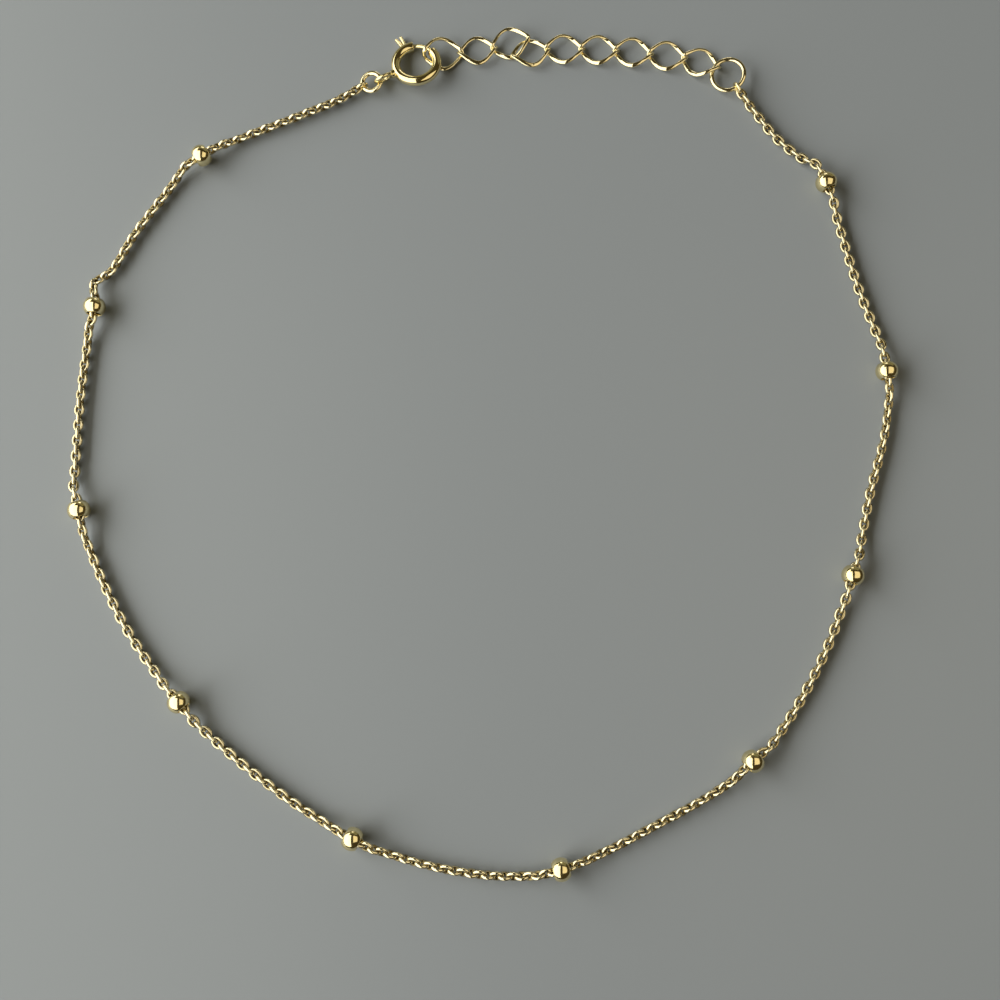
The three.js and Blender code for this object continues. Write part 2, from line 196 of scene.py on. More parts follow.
def ellipseSection(halfWidth, halfHeight, sides, power=2.0):
    # |x/a|^p + |y/b|^p = 1, a circle or an ellipse at a power of two and squarer above it
    angle = 2 * np.pi * np.arange(sides) / sides
    x, y = np.cos(angle), np.sin(angle)
    reach = (np.abs(x) ** power + np.abs(y) ** power) ** (-1 / power)
    return np.stack([halfWidth * reach * x, halfHeight * reach * y], axis=-1)


def carry(path, side, up, section):
    # the section's two numbers measured along side and up at each point of the path
    sideways = section[..., 0:1] * side[:, None, :]
    upward = section[..., 1:2] * up[:, None, :]
    return path[:, None, :] + sideways + upward


def spokes(angle):
    # outward and upward axes of a flat circle at each angle
    outward = np.stack([np.cos(angle), np.sin(angle), np.zeros(len(angle))], axis=-1)
    return outward, np.tile((0.0, 0.0, 1.0), (len(angle), 1))


def closedTangents(path):
    # from the point before to the point after, round a closed path
    return direction(np.roll(path, -1, axis=0) - np.roll(path, 1, axis=0))


def rolled(side, up, roll):
    # both cross axes turned about the path by an angle at each point
    cosine, sine = np.cos(roll)[:, None], np.sin(roll)[:, None]
    return side * cosine + up * sine, up * cosine - side * sine


def turnZ(degrees):
    # the matrix of a turn about the upright axis
    angle = math.radians(degrees)
    cosine, sine = math.cos(angle), math.sin(angle)
    return np.array([[cosine, -sine, 0], [sine, cosine, 0], [0, 0, 1]])


def flatStep(length, degrees):
    # a step of a length in a direction on the surface
    angle = math.radians(degrees)
    return length * np.array([math.cos(angle), math.sin(angle)])


# gold

class Signal:
    # a socket's output, so that shader maths reads as plain expressions
    def __init__(self, tree, socket):
        self.tree = tree
        self.socket = socket

    def node(self, kind, settings, sockets, output=0):
        made = self.tree.nodes.new(kind)
        for key, value in settings.items():
            setattr(made, key, value)
        for key, value in sockets.items():
            if isinstance(value, Signal):
                self.tree.links.new(value.socket, made.inputs[key])
            else:
                made.inputs[key].default_value = value
        return Signal(self.tree, made.outputs[output])

    def maths(self, operation, first, second):
        return self.node("ShaderNodeMath", {"operation": operation}, {0: first, 1: second})

    def noise(self, scale, detail):
        return self.node("ShaderNodeTexNoise", {}, {"Vector": self, "Scale": scale, "Detail": detail})

    def between(self, share, first, second):
        # from the first colour to the second; 6 and 7 are a colour mix's own inputs, 2 its result
        return self.node("ShaderNodeMix", {"data_type": "RGBA"}, {0: share, 6: first, 7: second}, 2)

    def __add__(self, other):
        return self.maths("ADD", self, other)

    def __radd__(self, other):
        return self.maths("ADD", other, self)

    def __mul__(self, other):
        return self.maths("MULTIPLY", self, other)

    def __rmul__(self, other):
        return self.maths("MULTIPLY", other, self)


def startMaterial(name):
    # a material with nothing in it but its shader
    material = bpy.data.materials.new(name)
    material.use_nodes = True
    tree = material.node_tree
    tree.nodes.clear()
    shader = tree.nodes.new("ShaderNodeBsdfPrincipled")
    output = tree.nodes.new("ShaderNodeOutputMaterial")
    tree.links.new(shader.outputs[0], output.inputs["Surface"])
    return material, tree, shader


gold = {
    "light": (0.94, 0.82, 0.49),
    "deep": (0.90, 0.77, 0.43),
    "pale": (0.96, 0.92, 0.79),     # towards which thin wire looks washed out
    # the painted shade's dark brown, for the chain's wire where it faces its link's hole
    "paintedShade": (0.17, 0.12, 0.04),
    "patches": (900, 2.0),  # the drifting tone's waves per metre, and its detail
    "marks": (9000, 4.0),   # and the polish marks'
    "wear": 0.05,           # how much roughness the marks add
    "scratch": 0.08,        # how deep they are beside the surface's slow swell
    "swell": 0.1,           # the full height of that swell, times each gold's waviness
}


def mixed(first, second, share):
    # a share of the way from one colour to another
    return tuple(a + (b - a) * share for a, b in zip(first, second))


def makeGold(name, roughness, waviness, paleness=0.0, holeShade=False):
    # polished gold: a slow drift between two tones, fine marks in the polish, a soft waviness, and where
    # asked a painted shade on wire that faces its link's hole
    material, tree, shader = startMaterial(name)
    deep = mixed(gold["deep"], gold["pale"], paleness)
    light = mixed(gold["light"], gold["pale"], paleness)
    place = Signal(tree, None).node("ShaderNodeTexCoord", {}, {}, "Object")
    drift = place.noise(*gold["patches"])
    marks = place.noise(*gold["marks"])
    tone = place.between(drift, (*deep, 1.0), (*light, 1.0))
    # painted shade: where asked, the tone is darkened by the mesh's painted shade attribute
    if holeShade:
        shadeShare = place.node("ShaderNodeAttribute", {"attribute_name": "paintedShade"}, {}, "Fac")
        tone = place.between(shadeShare, tone, (*gold["paintedShade"], 1.0))
    worn = roughness + marks * gold["wear"]
    relief = {
        "Height": drift + marks * gold["scratch"],
        "Strength": waviness,
        "Distance": gold["swell"] * millimetre,
    }
    bump = place.node("ShaderNodeBump", {}, relief)
    tree.links.new(tone.socket, shader.inputs["Base Color"])
    tree.links.new(worn.socket, shader.inputs["Roughness"])
    tree.links.new(bump.socket, shader.inputs["Normal"])
    shader.inputs["Metallic"].default_value = 1.0
    return material


# the fine chain's gold carries painted shade towards each link's hole
chainGold = makeGold("chainGold", 0.09, 0.35, paleness=0.38, holeShade=True)
beadGold = makeGold("beadGold", 0.10, 0.25)
linkGold = makeGold("linkGold", 0.08, 0.2, paleness=0.25)
claspGold = makeGold("claspGold", 0.07, 0.1)
boltGold = makeGold("boltGold", 0.10, 0.1)


# beads

def beadAxis(index):
    # from the chain's last point before the bead to its first one after it
    before, after = chainRuns[index][2][-1], chainRuns[index + 1][2][0]
    return direction(np.array(after) - np.array(before))


def beadHalfLength():
    # from the middle to the plane where ball and bore would meet without a lip
    return math.sqrt(bead["diameter"] ** 2 - bead["bore"] ** 2) / 2


def beadProfile():
    # the ball's outline from mouth to mouth with a small round lip, then back through the bore;
    # rows of (distance from the axis, place along it)
    radius, bore, lip = bead["diameter"] / 2, bead["bore"] / 2, bead["lip"]
    centre = bore + lip
    along = math.sqrt((radius - lip) ** 2 - centre ** 2)
    meet = math.atan2(along, centre)
    ball = np.linspace(-meet, meet, bead["across"])
    outline = np.stack([radius * np.cos(ball), radius * np.sin(ball)], axis=-1)
    turn = np.linspace(meet, math.pi, bead["lipSteps"] + 1)[1:]
    top = np.stack([centre + lip * np.cos(turn), along + lip * np.sin(turn)], axis=-1)
    bottom = top[::-1] * (1, -1)
    return np.concatenate([outline, top, bottom])


def makeBeads():
    # the profile turned about each bead's own axis
    profile = beadProfile()
    angle = 2 * np.pi * np.arange(bead["around"]) / bead["around"]
    for index, place in enumerate(beadPlaces):
        axis = np.array([*beadAxis(index), 0.0])
        across = np.array([-axis[1], axis[0], 0.0])
        upward = np.array([0.0, 0.0, 1.0])
        spoke = np.cos(angle)[:, None] * across + np.sin(angle)[:, None] * upward
        middle = layoutZero + (*place, bead["diameter"] / 2)
        grid = middle + profile[None, :, 0:1] * spoke[:, None, :] + profile[None, :, 1:2] * axis
        points, faces = skin(grid)
        piece = makePiece(f"bead{index + 1:02d}", points, faces, beadGold)
        standFor(piece, "anklet", f"bead_{index + 1:02d}")


makeBeads()
print("beads made")


# extender links

extender = {
    "length": 4.24,
    "width": 3.24,
    "wire": 0.34,
    "pressed": (0.44, 0.25),    # the wire's width and thickness after pressing
    "tipPower": 1.22,
    "cornerPower": 1.54,
    "rise": 0.44,
    "play": 0.08,
    "segments": 120,
    "wireSides": 16,
    "squareness": 3.4,
    "steepness": 1.35,      # how quickly the wire climbs past the far and near corners
    "tipTurn": 10,          # degrees to both sides of a tip's middle that count as the tip
    "firstFromClasp": (2.69, 1.26),
}
# turn in degrees, slip along x and y as shares of the length, and the wire's level in crossings
# at far right, far, far left, near left, near and near right
extenderRows = [
    (6, (0, 0), (1.0, 1.6, 2.5, 0.15, 0, 0)),
    (9, (0, 0), (0, 0.2, 0, 1.1, 0.7, 1)),
    (16, (-0.015, 0), (1.2, 1, 1, 0, 0, 1)),
    (14, (-0.3, -0.45), (0, 0, 0.9, 1.2, 0.7, 1)),
    (0, (0, 0), (0, 0.5, 1, 0, 0.5, 1)),
    (-3, (0, 0), (0, 0.5, 1, 0, 0.5, 1)),
    (-6, (0, 0), (0, 0.5, 1, 0, 0.5, 1)),
    (-7, (0, 0), (0, 0.5, 1, 0, 0.5, 1)),
    (-20, (0, 0), (0, 0.5, 1, 0, 0.9, 2.05)),
]
# how far the pressed wire's flat side leans inwards, every 45 degrees round a link from its right
extenderRoll = [20, 24, 2, 0, 20, -18, -18, -14]
firstLinkRoll = [20, 5, 0, 0, 20, -18, 5, 20]
# and the share of the pressed width it keeps there
extenderShare = [0.9, 1.0, 0.75, 0.66, 0.9, 1.0, 1.0, 0.75]
clasp = {
    "place": (-8.43, 44.34),
    "outer": 5.15,
    "tube": 0.97,
    "channel": 0.56,
    "tiltNear": 8,
    "tiltRight": 2.5,
    "gapStart": 43,
    "gapEnd": 99,
    "socketEnd": 20,
    "channelEnd": 218,
    "slotHeight": 0.46,
    "slotMargin": 3,
    "travel": 52,
    "eyeAngle": 207,
    "eyeLength": 2.16,
    "eyeHeight": 1.9,
    "eyeWire": 0.4,
    "eyeSink": 0.03,
    "eyeLean": 26,
    "collarLength": 0.5,
    "clearance": 0.03,
    "rim": 0.09,            # rounding of the tube's two ends
    "boreRim": 0.05,
    "collarRim": 0.08,
    "overrun": 4,           # how far the two bores are cut on into the open gap
}


def placeExtender():
    # each link's middle: half a pitch along this link's turn and half along the next one's
    halfPitch = (extender["length"] - extender["play"]) / 2 - extender["wire"]
    place = np.array(clasp["place"]) + extender["firstFromClasp"]
    places = []
    for index, (turn, slip, levels) in enumerate(extenderRows):
        if index > 0:
            place = place + flatStep(halfPitch, extenderRows[index - 1][0]) + flatStep(halfPitch, turn)
        place = place + np.array(slip) * extender["length"]
        places.append(place)
    return places


def eased(share):
    # half a cosine wave, from nothing to one
    return (1 - np.cos(np.pi * np.clip(share, 0, 1))) / 2


def easedSide(share, start, corner, end):
    # one steep ease from end to end, bent by a squared sine to the corner's own level
    bump = np.sin(np.pi * np.clip(share, 0, 1)) ** 2
    steep = eased(0.5 + extender["steepness"] * (share - 0.5))
    return start + (end - start) * steep + (corner - (start + end) / 2) * bump


def levelAt(angle, levels):
    # each long side eased from tip to tip by way of its corner, with a short ease in each tip
    right, far, left, nearLeft, near, nearRight = levels
    tip = extender["tipTurn"]
    side = 180 - 2 * tip
    farSide = easedSide((angle - tip) / side, right, far, left)
    nearSide = easedSide((angle - 180 - tip) / side, nearLeft, near, nearRight)
    leftTip = left + (nearLeft - left) * eased((angle - 180 + tip) / (2 * tip))
    rightShare = ((angle + 180) % 360 - 180 + tip) / (2 * tip)
    rightTip = nearRight + (right - nearRight) * eased(rightShare)
    tips = np.where(np.abs(angle - 180) < 90, leftTip, rightTip)
    sides = np.where(angle < 180, farSide, nearSide)
    return np.where(np.abs((angle + 90) % 180 - 90) < tip, tips, sides)


def roundLink(angle, values):
    # values given at equal turns round a link, read off in between
    return np.interp(angle, np.linspace(0, 360, len(values) + 1), [*values, values[0]])


def extenderLinkGrid(levels, roll):
    # a rhombus, |x/a|^p + |y/b|^p = 1, whose far and near corners are rounder than its tips, of
    # pressed wire that rolls as it goes
    angle = 2 * np.pi * np.arange(extender["segments"]) / extender["segments"]
    degrees = np.degrees(angle)
    halfLength = (extender["length"] - extender["wire"]) / 2
    halfWidth = (extender["width"] - extender["wire"]) / 2
    along, across = np.cos(angle), np.sin(angle)
    power = extender["tipPower"] + (extender["cornerPower"] - extender["tipPower"]) * across ** 2
    reach = (np.abs(along / halfLength) ** power + np.abs(across / halfWidth) ** power) ** (-1 / power)
    width, thickness = extender["pressed"]
    share = roundLink(degrees, extenderShare)
    lean = np.radians(roundLink(degrees, roll))
    # no lower than the rolled wire's own half height, which keeps it off the floor
    halfHeight = (share * width * np.abs(np.sin(lean)) + thickness * np.cos(lean)) / 2
    height = extender["wire"] / 2 + extender["rise"] * levelAt(degrees, levels)
    height = np.maximum(height, halfHeight)
    path = np.stack([reach * along, reach * across, height], axis=-1)
    tangent = closedTangents(path)
    side = direction(np.cross(tangent, (0, 0, 1)))
    side, up = rolled(side, np.cross(side, tangent), lean)
    section = ellipseSection(width / 2, thickness / 2, extender["wireSides"], extender["squareness"])
    narrowing = np.stack([share, np.ones_like(share)], axis=-1)[:, None, :]
    return carry(path, side, up, section[None] * narrowing)


def makeExtender(places):
    # each link turned flat and set down at its place
    for index, (turn, slip, levels) in enumerate(extenderRows):
        roll = firstLinkRoll if index == 0 else extenderRoll
        grid = extenderLinkGrid(levels, roll) @ turnZ(turn).T + layoutZero + (*places[index], 0)
        points, faces = skin(grid)
        piece = makePiece(f"extenderLink{index + 1}", points, faces, linkGold)
        standFor(piece, "anklet", f"extender_link_{index + 1}")


extenderPlaces = placeExtender()
makeExtender(extenderPlaces)
print("extender made")


# jump rings and the chain's end links

claspJumpRing = {"outer": 2.28, "wire": 0.41, "play": 0.12, "turn": 190, "z": 0.74, "slope": (0.14, 0.04)}
extenderRing = {"outer": 3.54, "wire": 0.37, "play": 0.1, "turn": -46, "z": 0.8, "slope": (0.2, 0.1)}
# the jump rings' wire is pressed to these shares of its size
ringMesh = {"segments": 96, "wireSides": 14, "pressed": (1.24, 0.94)}
endLink = {
    "length": 1.38,
    "width": 1.18,
    "wire": 0.31,
    "startAngle": 205,
    "endAngle": -60,
    "clearance": 0.05,
    "segments": 40,
    "wireSides": 12,
}


def placeExtenderRing():
    # hung in the last extender link's tip
    turn = extenderRows[-1][0]
    ring = extenderRing
    return (
        extenderPlaces[-1]
        + flatStep(extender["length"] / 2 - extender["wire"], turn)
        + flatStep(ring["outer"] / 2 - ring["wire"] - ring["play"], ring["turn"])
    )


def eyeReach():
    # from the clasp's middle to its eye's, which is sunk a little into the tube
    return (clasp["outer"] + clasp["eyeLength"]) / 2 - clasp["eyeSink"]


def placeClaspJumpRing():
    # hung in the clasp's eye
    ring = claspJumpRing
    hang = eyeReach() + clasp["eyeLength"] / 2 - clasp["eyeWire"] - ring["wire"] / 2 - ring["play"]
    return (
        np.array(clasp["place"])
        + flatStep(hang, clasp["eyeAngle"])
        + flatStep((ring["outer"] - ring["wire"]) / 2, ring["turn"])
    )


def leaning(slope):
    # the shortest turn from the upright axis to a ring's own, by that turn's cross matrix
    axis = direction(np.array([-slope[0], -slope[1], 1.0]))
    across, along = -axis[1], axis[0]
    matrix = np.array([[0, 0, along], [0, 0, -across], [-along, across, 0]])
    return np.eye(3) + matrix + matrix @ matrix / (1 + axis[2])


def ringGrid(radius, wire, segments, sides, pressed=(1, 1)):
    # round or slightly pressed wire bent to a circle in its own flat plane
    outward, upward = spokes(2 * np.pi * np.arange(segments) / segments)
    section = ellipseSection(pressed[0] * wire / 2, pressed[1] * wire / 2, sides)
    return carry(radius * outward, outward, upward, section[None])


def makeRing(name, node, ring, place):
    # a jump ring, leaned as it rests on what it hangs in
    radius = (ring["outer"] - ring["wire"]) / 2
    segments, sides, pressed = ringMesh["segments"], ringMesh["wireSides"], ringMesh["pressed"]
    grid = ringGrid(radius, ring["wire"], segments, sides, pressed)
    grid = grid @ leaning(ring["slope"]).T + layoutZero + (*place, ring["z"])
    points, faces = skin(grid)
    standFor(makePiece(name, points, faces, linkGold), "anklet", node)


def placeEndLink(ring, middle, degrees):
    # on the ring's wire, standing on edge along the ring's radius
    radius = (ring["outer"] - ring["wire"]) / 2
    step = flatStep(1.0, degrees)
    reach = radius + endLink["length"] / 2 - endLink["wire"] - ring["wire"] / 2 - endLink["clearance"]
    height = ring["z"] + radius * float(np.dot(ring["slope"], step))
    return np.array([*(middle + reach * step), max(endLink["width"] / 2, height)])


def ovalLinkGrid(sizes, segments, sides):
    # an oval of wire in the plane of its length (x) and width (y), seen from +z
    angle = 2 * np.pi * np.arange(segments) / segments
    halfLength = (sizes["length"] - sizes["wire"]) / 2
    halfWidth = (sizes["width"] - sizes["wire"]) / 2
    path = np.stack([halfLength * np.cos(angle), halfWidth * np.sin(angle), np.zeros(segments)], axis=-1)
    tangent = closedTangents(path)
    up = np.tile((0.0, 0.0, 1.0), (segments, 1))
    side = np.cross(tangent, up)
    section = ellipseSection(sizes["wire"] / 2, sizes["wire"] / 2, sides)
    return carry(path, side, up, section[None])


def makeEndLink(name, node, place, degrees):
    # the oval stood on edge and turned towards its ring
    grid = ovalLinkGrid(endLink, endLink["segments"], endLink["wireSides"])
    onEdge = grid[..., [0, 2, 1]] * (1, -1, 1)
    points, faces = skin(onEdge @ turnZ(degrees).T + layoutZero + place)
    standFor(makePiece(name, points, faces, linkGold), "anklet", node)


claspRingPlace = placeClaspJumpRing()
extenderRingPlace = placeExtenderRing()
makeRing("claspJumpRing", "clasp_jump_ring", claspJumpRing, claspRingPlace)
makeRing("extenderRing", "extender_ring", extenderRing, extenderRingPlace)
startLinkPlace = placeEndLink(claspJumpRing, claspRingPlace, endLink["startAngle"])
endLinkPlace = placeEndLink(extenderRing, extenderRingPlace, endLink["endAngle"])
makeEndLink("endLinkClasp", "end_link_clasp", startLinkPlace, endLink["startAngle"])
makeEndLink("endLinkExtender", "end_link_extender", endLinkPlace, endLink["endAngle"])
print("rings made")


# fine chain

def smoothPlan(points, samples):
    # centripetal Catmull-Rom: each span's time is the square root of its length
    points = np.array(points)
    padded = np.vstack([2 * points[0] - points[1], points, 2 * points[-1] - points[-2]])
    knots = np.concatenate([[0], np.cumsum(np.linalg.norm(np.diff(padded, axis=0), axis=1) ** 0.5)])
    time = np.linspace(knots[1], knots[-2], samples)
    span = np.clip(np.searchsorted(knots, time, side="right") - 1, 1, len(points) - 1)

    def blend(low, high, before, after):
        share = ((time - knots[low]) / (knots[high] - knots[low]))[:, None]
        return (1 - share) * before + share * after

    first = blend(span - 1, span, padded[span - 1], padded[span])
    second = blend(span, span + 1, padded[span], padded[span + 1])
    third = blend(span + 1, span + 2, padded[span + 1], padded[span + 2])
    early = blend(span - 1, span + 1, first, second)
    late = blend(span, span + 2, second, third)
    return blend(span, span + 1, early, late)


def mouth(index, side):
    # where the chain's straight stretch through a bead ends, before (-1) or after it (1)
    reach = beadHalfLength() + chain["boreStraight"]
    return np.array(beadPlaces[index]) + side * reach * beadAxis(index)


def chainRoute():
    # the chain's middle from end link to end link: plan, height and how far its links roll
    plans, heights, rolls = [], [], []
    high = bead["diameter"] / 2
    last = len(chainRuns) - 1
    for index, (startRoll, endRoll, points) in enumerate(chainRuns):
        start = startLinkPlace[:2] if index == 0 else mouth(index - 1, 1)
        end = endLinkPlace[:2] if index == last else mouth(index, -1)
        plan = smoothPlan([start, *points, end], chain["samples"])
        travelled = np.concatenate([[0], np.cumsum(np.linalg.norm(np.diff(plan, axis=0), axis=1))])
        fromStart = (startLinkPlace[2] if index == 0 else high) - chain["layHeight"]
        fromEnd = (endLinkPlace[2] if index == last else high) - chain["layHeight"]
        lift = np.maximum(fromStart * fall(travelled), fromEnd * fall(travelled[-1] - travelled))
        plans.append(plan)
        heights.append(chain["layHeight"] + lift)
        rolls.append(np.linspace(startRoll, endRoll, len(plan)))
    return np.concatenate(plans), np.concatenate(heights), np.concatenate(rolls)


def fall(distance):
    # one beside a bead, a half cosine down to nothing on the surface
    return (1 + np.cos(np.pi * np.clip(distance / chain["rise"], 0, 1))) / 2


def softened(values, travelled, width):
    # a running mean, weighted by a raised cosine, over a width to both sides along the chain
    steps = 20
    grid = np.arange(0, travelled[-1], width / steps)
    even = np.interp(grid, travelled, values)
    kernel = np.hanning(2 * steps + 3)[1:-1]
    padded = np.pad(even, steps, mode="edge")
    return np.interp(travelled, grid, np.convolve(padded, kernel / kernel.sum(), mode="valid"))


def linkTurns(station, roll):
    # each link's turn about the chain: the run's roll and its own sway, every second link a
    # quarter turn further, settling at both ends to the turn that meets the end link
    count = len(station)
    shuffle = np.random.default_rng(chain["seed"])
    turn = roll + shuffle.uniform(-1, 1, count) * chain["sway"]
    endTurn = 0 if count % 2 == 1 else 90
    share = np.clip((station - station[-1] + chain["settle"]) / chain["settle"], 0, 1)
    turn = turn * (1 - share) + endTurn * share
    turn = turn * np.clip(station / chain["settle"], 0, 1)
    return np.radians(turn + 90 * ((np.arange(count) + 1) % 2))


def chainLinks():
    # link middles a pitch apart along the route, each with its forward, side and up axes
    plan, height, roll = chainRoute()
    path = np.column_stack([plan, height])
    travelled = np.concatenate([[0], np.cumsum(np.linalg.norm(np.diff(path, axis=0), axis=1))])
    roll = softened(roll, travelled, chain["rollBlend"])
    link = chain["link"]
    pitch = link["length"] - 2 * link["wire"] - chain["play"]
    count = int(round(travelled[-1] / pitch))
    station = np.linspace(0, travelled[-1], count + 1)
    turned = linkTurns(station, np.interp(station, travelled, roll))
    middles = np.stack([np.interp(station, travelled, path[:, k]) for k in range(3)], axis=-1)
    # each link lies as high as it or a neighbour needs to clear the floor
    halfWidth = (link["width"] - link["wire"]) / 2
    needed = link["wire"] / 2 + halfWidth * np.abs(np.sin(turned))
    highest = np.maximum(needed, np.maximum(np.roll(needed, 1), np.roll(needed, -1)))
    middles[:, 2] = np.maximum(middles[:, 2], highest * chain["nestled"] + chain["floorGap"])
    forward = direction(np.gradient(middles, axis=0))
    side = direction(np.cross((0, 0, 1), forward))
    side, up = rolled(side, np.cross(forward, side), turned)
    inner = slice(1, -1)
    return middles[inner], forward[inner], side[inner], up[inner]


def makeChain():
    # one oval link's mesh placed along the whole chain, all its links as one mesh
    grid = ovalLinkGrid(chain["link"], chain["segments"], chain["wireSides"])
    points, faces = skin(grid)
    # painted shade: the wire's side towards the link's own hole is painted darker, by the cosine of the
    # way it faces
    sideAngle = 2 * np.pi * np.arange(chain["wireSides"]) / chain["wireSides"]
    level, swing = chain["paintedShade"]
    paintedShade = np.tile(np.clip(level - swing * np.cos(sideAngle), 0, 1), chain["segments"])
    middles, forward, side, up = chainLinks()
    axes = np.stack([forward, side, up], axis=1)
    placed = np.einsum("pk,nkj->npj", points, axes) + middles[:, None, :] + layoutZero
    starts = np.arange(len(middles))[:, None, None] * len(points)
    allFaces = (faces[None] + starts).reshape(-1, 4)
    piece = makePiece("fineChain", placed.reshape(-1, 3), allFaces, chainGold)
    # the painted shade stored at each point, read by the chain's gold
    shade = piece.data.attributes.new("paintedShade", "FLOAT", "POINT")
    shade.data.foreach_set("value", np.tile(paintedShade, len(middles)).astype(np.float32))
    standFor(piece, "anklet", "fine_chain")
    return len(middles)


linkCount = makeChain()
print("fine chain made:", linkCount, "links")


# clasp

boltSizes = {
    "wire": 0.42,
    "nose": 30,
    "tail": 152,
    "tabAngle": 121.5,
    "tabReach": 1.55,
    "tabSpread": 0.53,
    "tabRoot": 0.3,         # the prongs' spread where they leave the bolt
    "tabProng": 0.36,
    "round": 0.06,
}
# steps along and sides round each bent or straight part
claspMesh = {
    "tube": (110, 32),
    "channel": (60, 24),
    "socket": (16, 24),
    "eye": (56, 14),
    "bolt": (60, 20),
    "collarSides": 24,
    "prongSides": 16,
    "slotSteps": 24,
    "weld": 0.0005,
    "sharpAngle": 38,
}
rimTurn = np.linspace(0, np.pi / 2, 6)      # the stations of a rounded rim's quarter circle


def claspAxes():
    # the clasp's own right, far and up axes: first leaned about y, then about x
    lean, cant = math.radians(-clasp["tiltNear"]), math.radians(-clasp["tiltRight"])
    leanCosine, leanSine = math.cos(lean), math.sin(lean)
    cantCosine, cantSine = math.cos(cant), math.sin(cant)
    aboutX = np.array([[1, 0, 0], [0, leanCosine, -leanSine], [0, leanSine, leanCosine]])
    aboutY = np.array([[cantCosine, 0, cantSine], [0, 1, 0], [-cantSine, 0, cantCosine]])
    return aboutX @ aboutY


def claspRadius():
    # from the clasp's middle to the middle of its tube
    return (clasp["outer"] - clasp["tube"]) / 2


def claspPlace():
    # the tilted ring's middle, with its lowest side just off the floor
    upward = claspAxes()[2, 2]
    height = clasp["tube"] / 2 + claspRadius() * math.sqrt(1 - upward ** 2) + clasp["clearance"]
    return layoutZero + (*clasp["place"], height)


def bentTube(diameter, start, end, divisions, rim):
    # a tube along the clasp's centre line with rounded rims and flat ends: near each end the
    # section shrinks along a quarter circle of the rim's radius
    radius = claspRadius()
    steps, sides = divisions
    first = start + np.degrees(rim * (1 - np.cos(rimTurn)) / radius)
    firstReach = diameter / 2 - rim * (1 - np.sin(rimTurn))
    middle = np.linspace(first[-1], end - (first[-1] - start), steps)[1:-1]
    angle = np.concatenate([first, middle, (start + end - first)[::-1]])
    reach = np.concatenate([firstReach, np.full(len(middle), diameter / 2), firstReach[::-1]])
    outward, upward = spokes(np.radians(angle))
    section = ellipseSection(1, 1, sides)[None] * reach[:, None, None]
    return skin(capped(carry(radius * outward, outward, upward, section)), wrapRows=False)


def straightRod(start, end, radius, sides, rim):
    # a level round rod whose tip's rim is a quarter circle
    axis = direction(end - start)
    side = direction(np.cross(axis, (0, 0, 1)))
    up = np.cross(side, axis)
    length = np.linalg.norm(end - start)
    place = np.concatenate([[0.0], length - rim + rim * np.sin(rimTurn)])
    reach = np.concatenate([[radius], radius - rim + rim * np.cos(rimTurn)])
    path = start + place[:, None] * axis
    section = ellipseSection(1, 1, sides)[None] * reach[:, None, None]
    count = len(path)
    grid = carry(path, np.tile(side, (count, 1)), np.tile(up, (count, 1)), section)
    return skin(capped(grid), wrapRows=False)


def solidObject(name, points, faces):
    # a helper solid in millimetres for joining and cutting
    mesh = bpy.data.meshes.new(name)
    mesh.from_pydata(points.tolist(), [], faces.tolist())
    mesh.update()
    piece = bpy.data.objects.new(name, mesh)
    bpy.context.scene.collection.objects.link(piece)
    weld = piece.modifiers.new("weld", "WELD")
    weld.merge_threshold = claspMesh["weld"]
    return piece


def combine(base, others):
    # joins or cuts the helper solids one after another and returns the finished mesh
    for operation, other in others:
        step = base.modifiers.new(operation, "BOOLEAN")
        step.operation = operation
        step.solver = "EXACT"
        step.object = other
    graph = bpy.context.evaluated_depsgraph_get()
    finished = bpy.data.meshes.new_from_object(base.evaluated_get(graph))
    for piece in [base] + [other for operation, other in others]:
        bpy.data.objects.remove(piece)
    return finished


def placeClaspPiece(name, mesh, material, body, node):
    # from the clasp's own axes and millimetres to the frame's, as one mesh at the origin
    points = np.zeros(len(mesh.vertices) * 3)
    mesh.vertices.foreach_get("co", points)
    placed = points.reshape(-1, 3) @ claspAxes().T + claspPlace()
    mesh.vertices.foreach_set("co", (placed * millimetre).ravel())
    mesh.materials.clear()
    mesh.materials.append(material)
    mesh.update()
    mesh.shade_smooth()
    mesh.set_sharp_from_angle(angle=math.radians(claspMesh["sharpAngle"]))
    mesh.name = name
    piece = bpy.data.objects.new(name, mesh)
    bpy.context.scene.collection.objects.link(piece)
    standFor(piece, body, node)


def slotCutter():
    # a flat curved bar through the outer wall along the tab's travel
    radius = claspRadius()
    halfTab = math.degrees((boltSizes["tabSpread"] + boltSizes["tabProng"]) / 2 / radius)
    start = boltSizes["tabAngle"] - halfTab - clasp["slotMargin"]
    end = boltSizes["tabAngle"] + halfTab + clasp["travel"] + clasp["slotMargin"]
    outward, upward = spokes(np.radians(np.linspace(start, end, claspMesh["slotSteps"])))
    half = clasp["slotHeight"] / 2
    section = np.array([(0, -half), (clasp["tube"], -half), (clasp["tube"], half), (0, half)])
    return skin(capped(carry(radius * outward, outward, upward, section[None])), wrapRows=False)


def claspEye(outward):
    # an oval ring on edge at the tube's back, leaned about the clasp's radius there
    segments, sides = claspMesh["eye"]
    ring = ringGrid((clasp["eyeHeight"] - clasp["eyeWire"]) / 2, clasp["eyeWire"], segments, sides)
    oval = ring * (clasp["eyeLength"] / clasp["eyeHeight"], 1, 1)
    lean = math.radians(clasp["eyeLean"])
    upright = np.array([-outward[1] * math.sin(lean), outward[0] * math.sin(lean), math.cos(lean)])
    axes = np.stack([outward, upright, np.cross(outward, upright)])
    return skin(oval @ axes + eyeReach() * outward)


def claspCollar(outward):
    # a short stub where the eye is soldered on, as wide as two of its wires
    half = clasp["collarLength"] / 2
    start = (clasp["outer"] / 2 - half) * outward
    end = (clasp["outer"] / 2 + half) * outward
    return straightRod(start, end, clasp["eyeWire"], claspMesh["collarSides"], clasp["collarRim"])


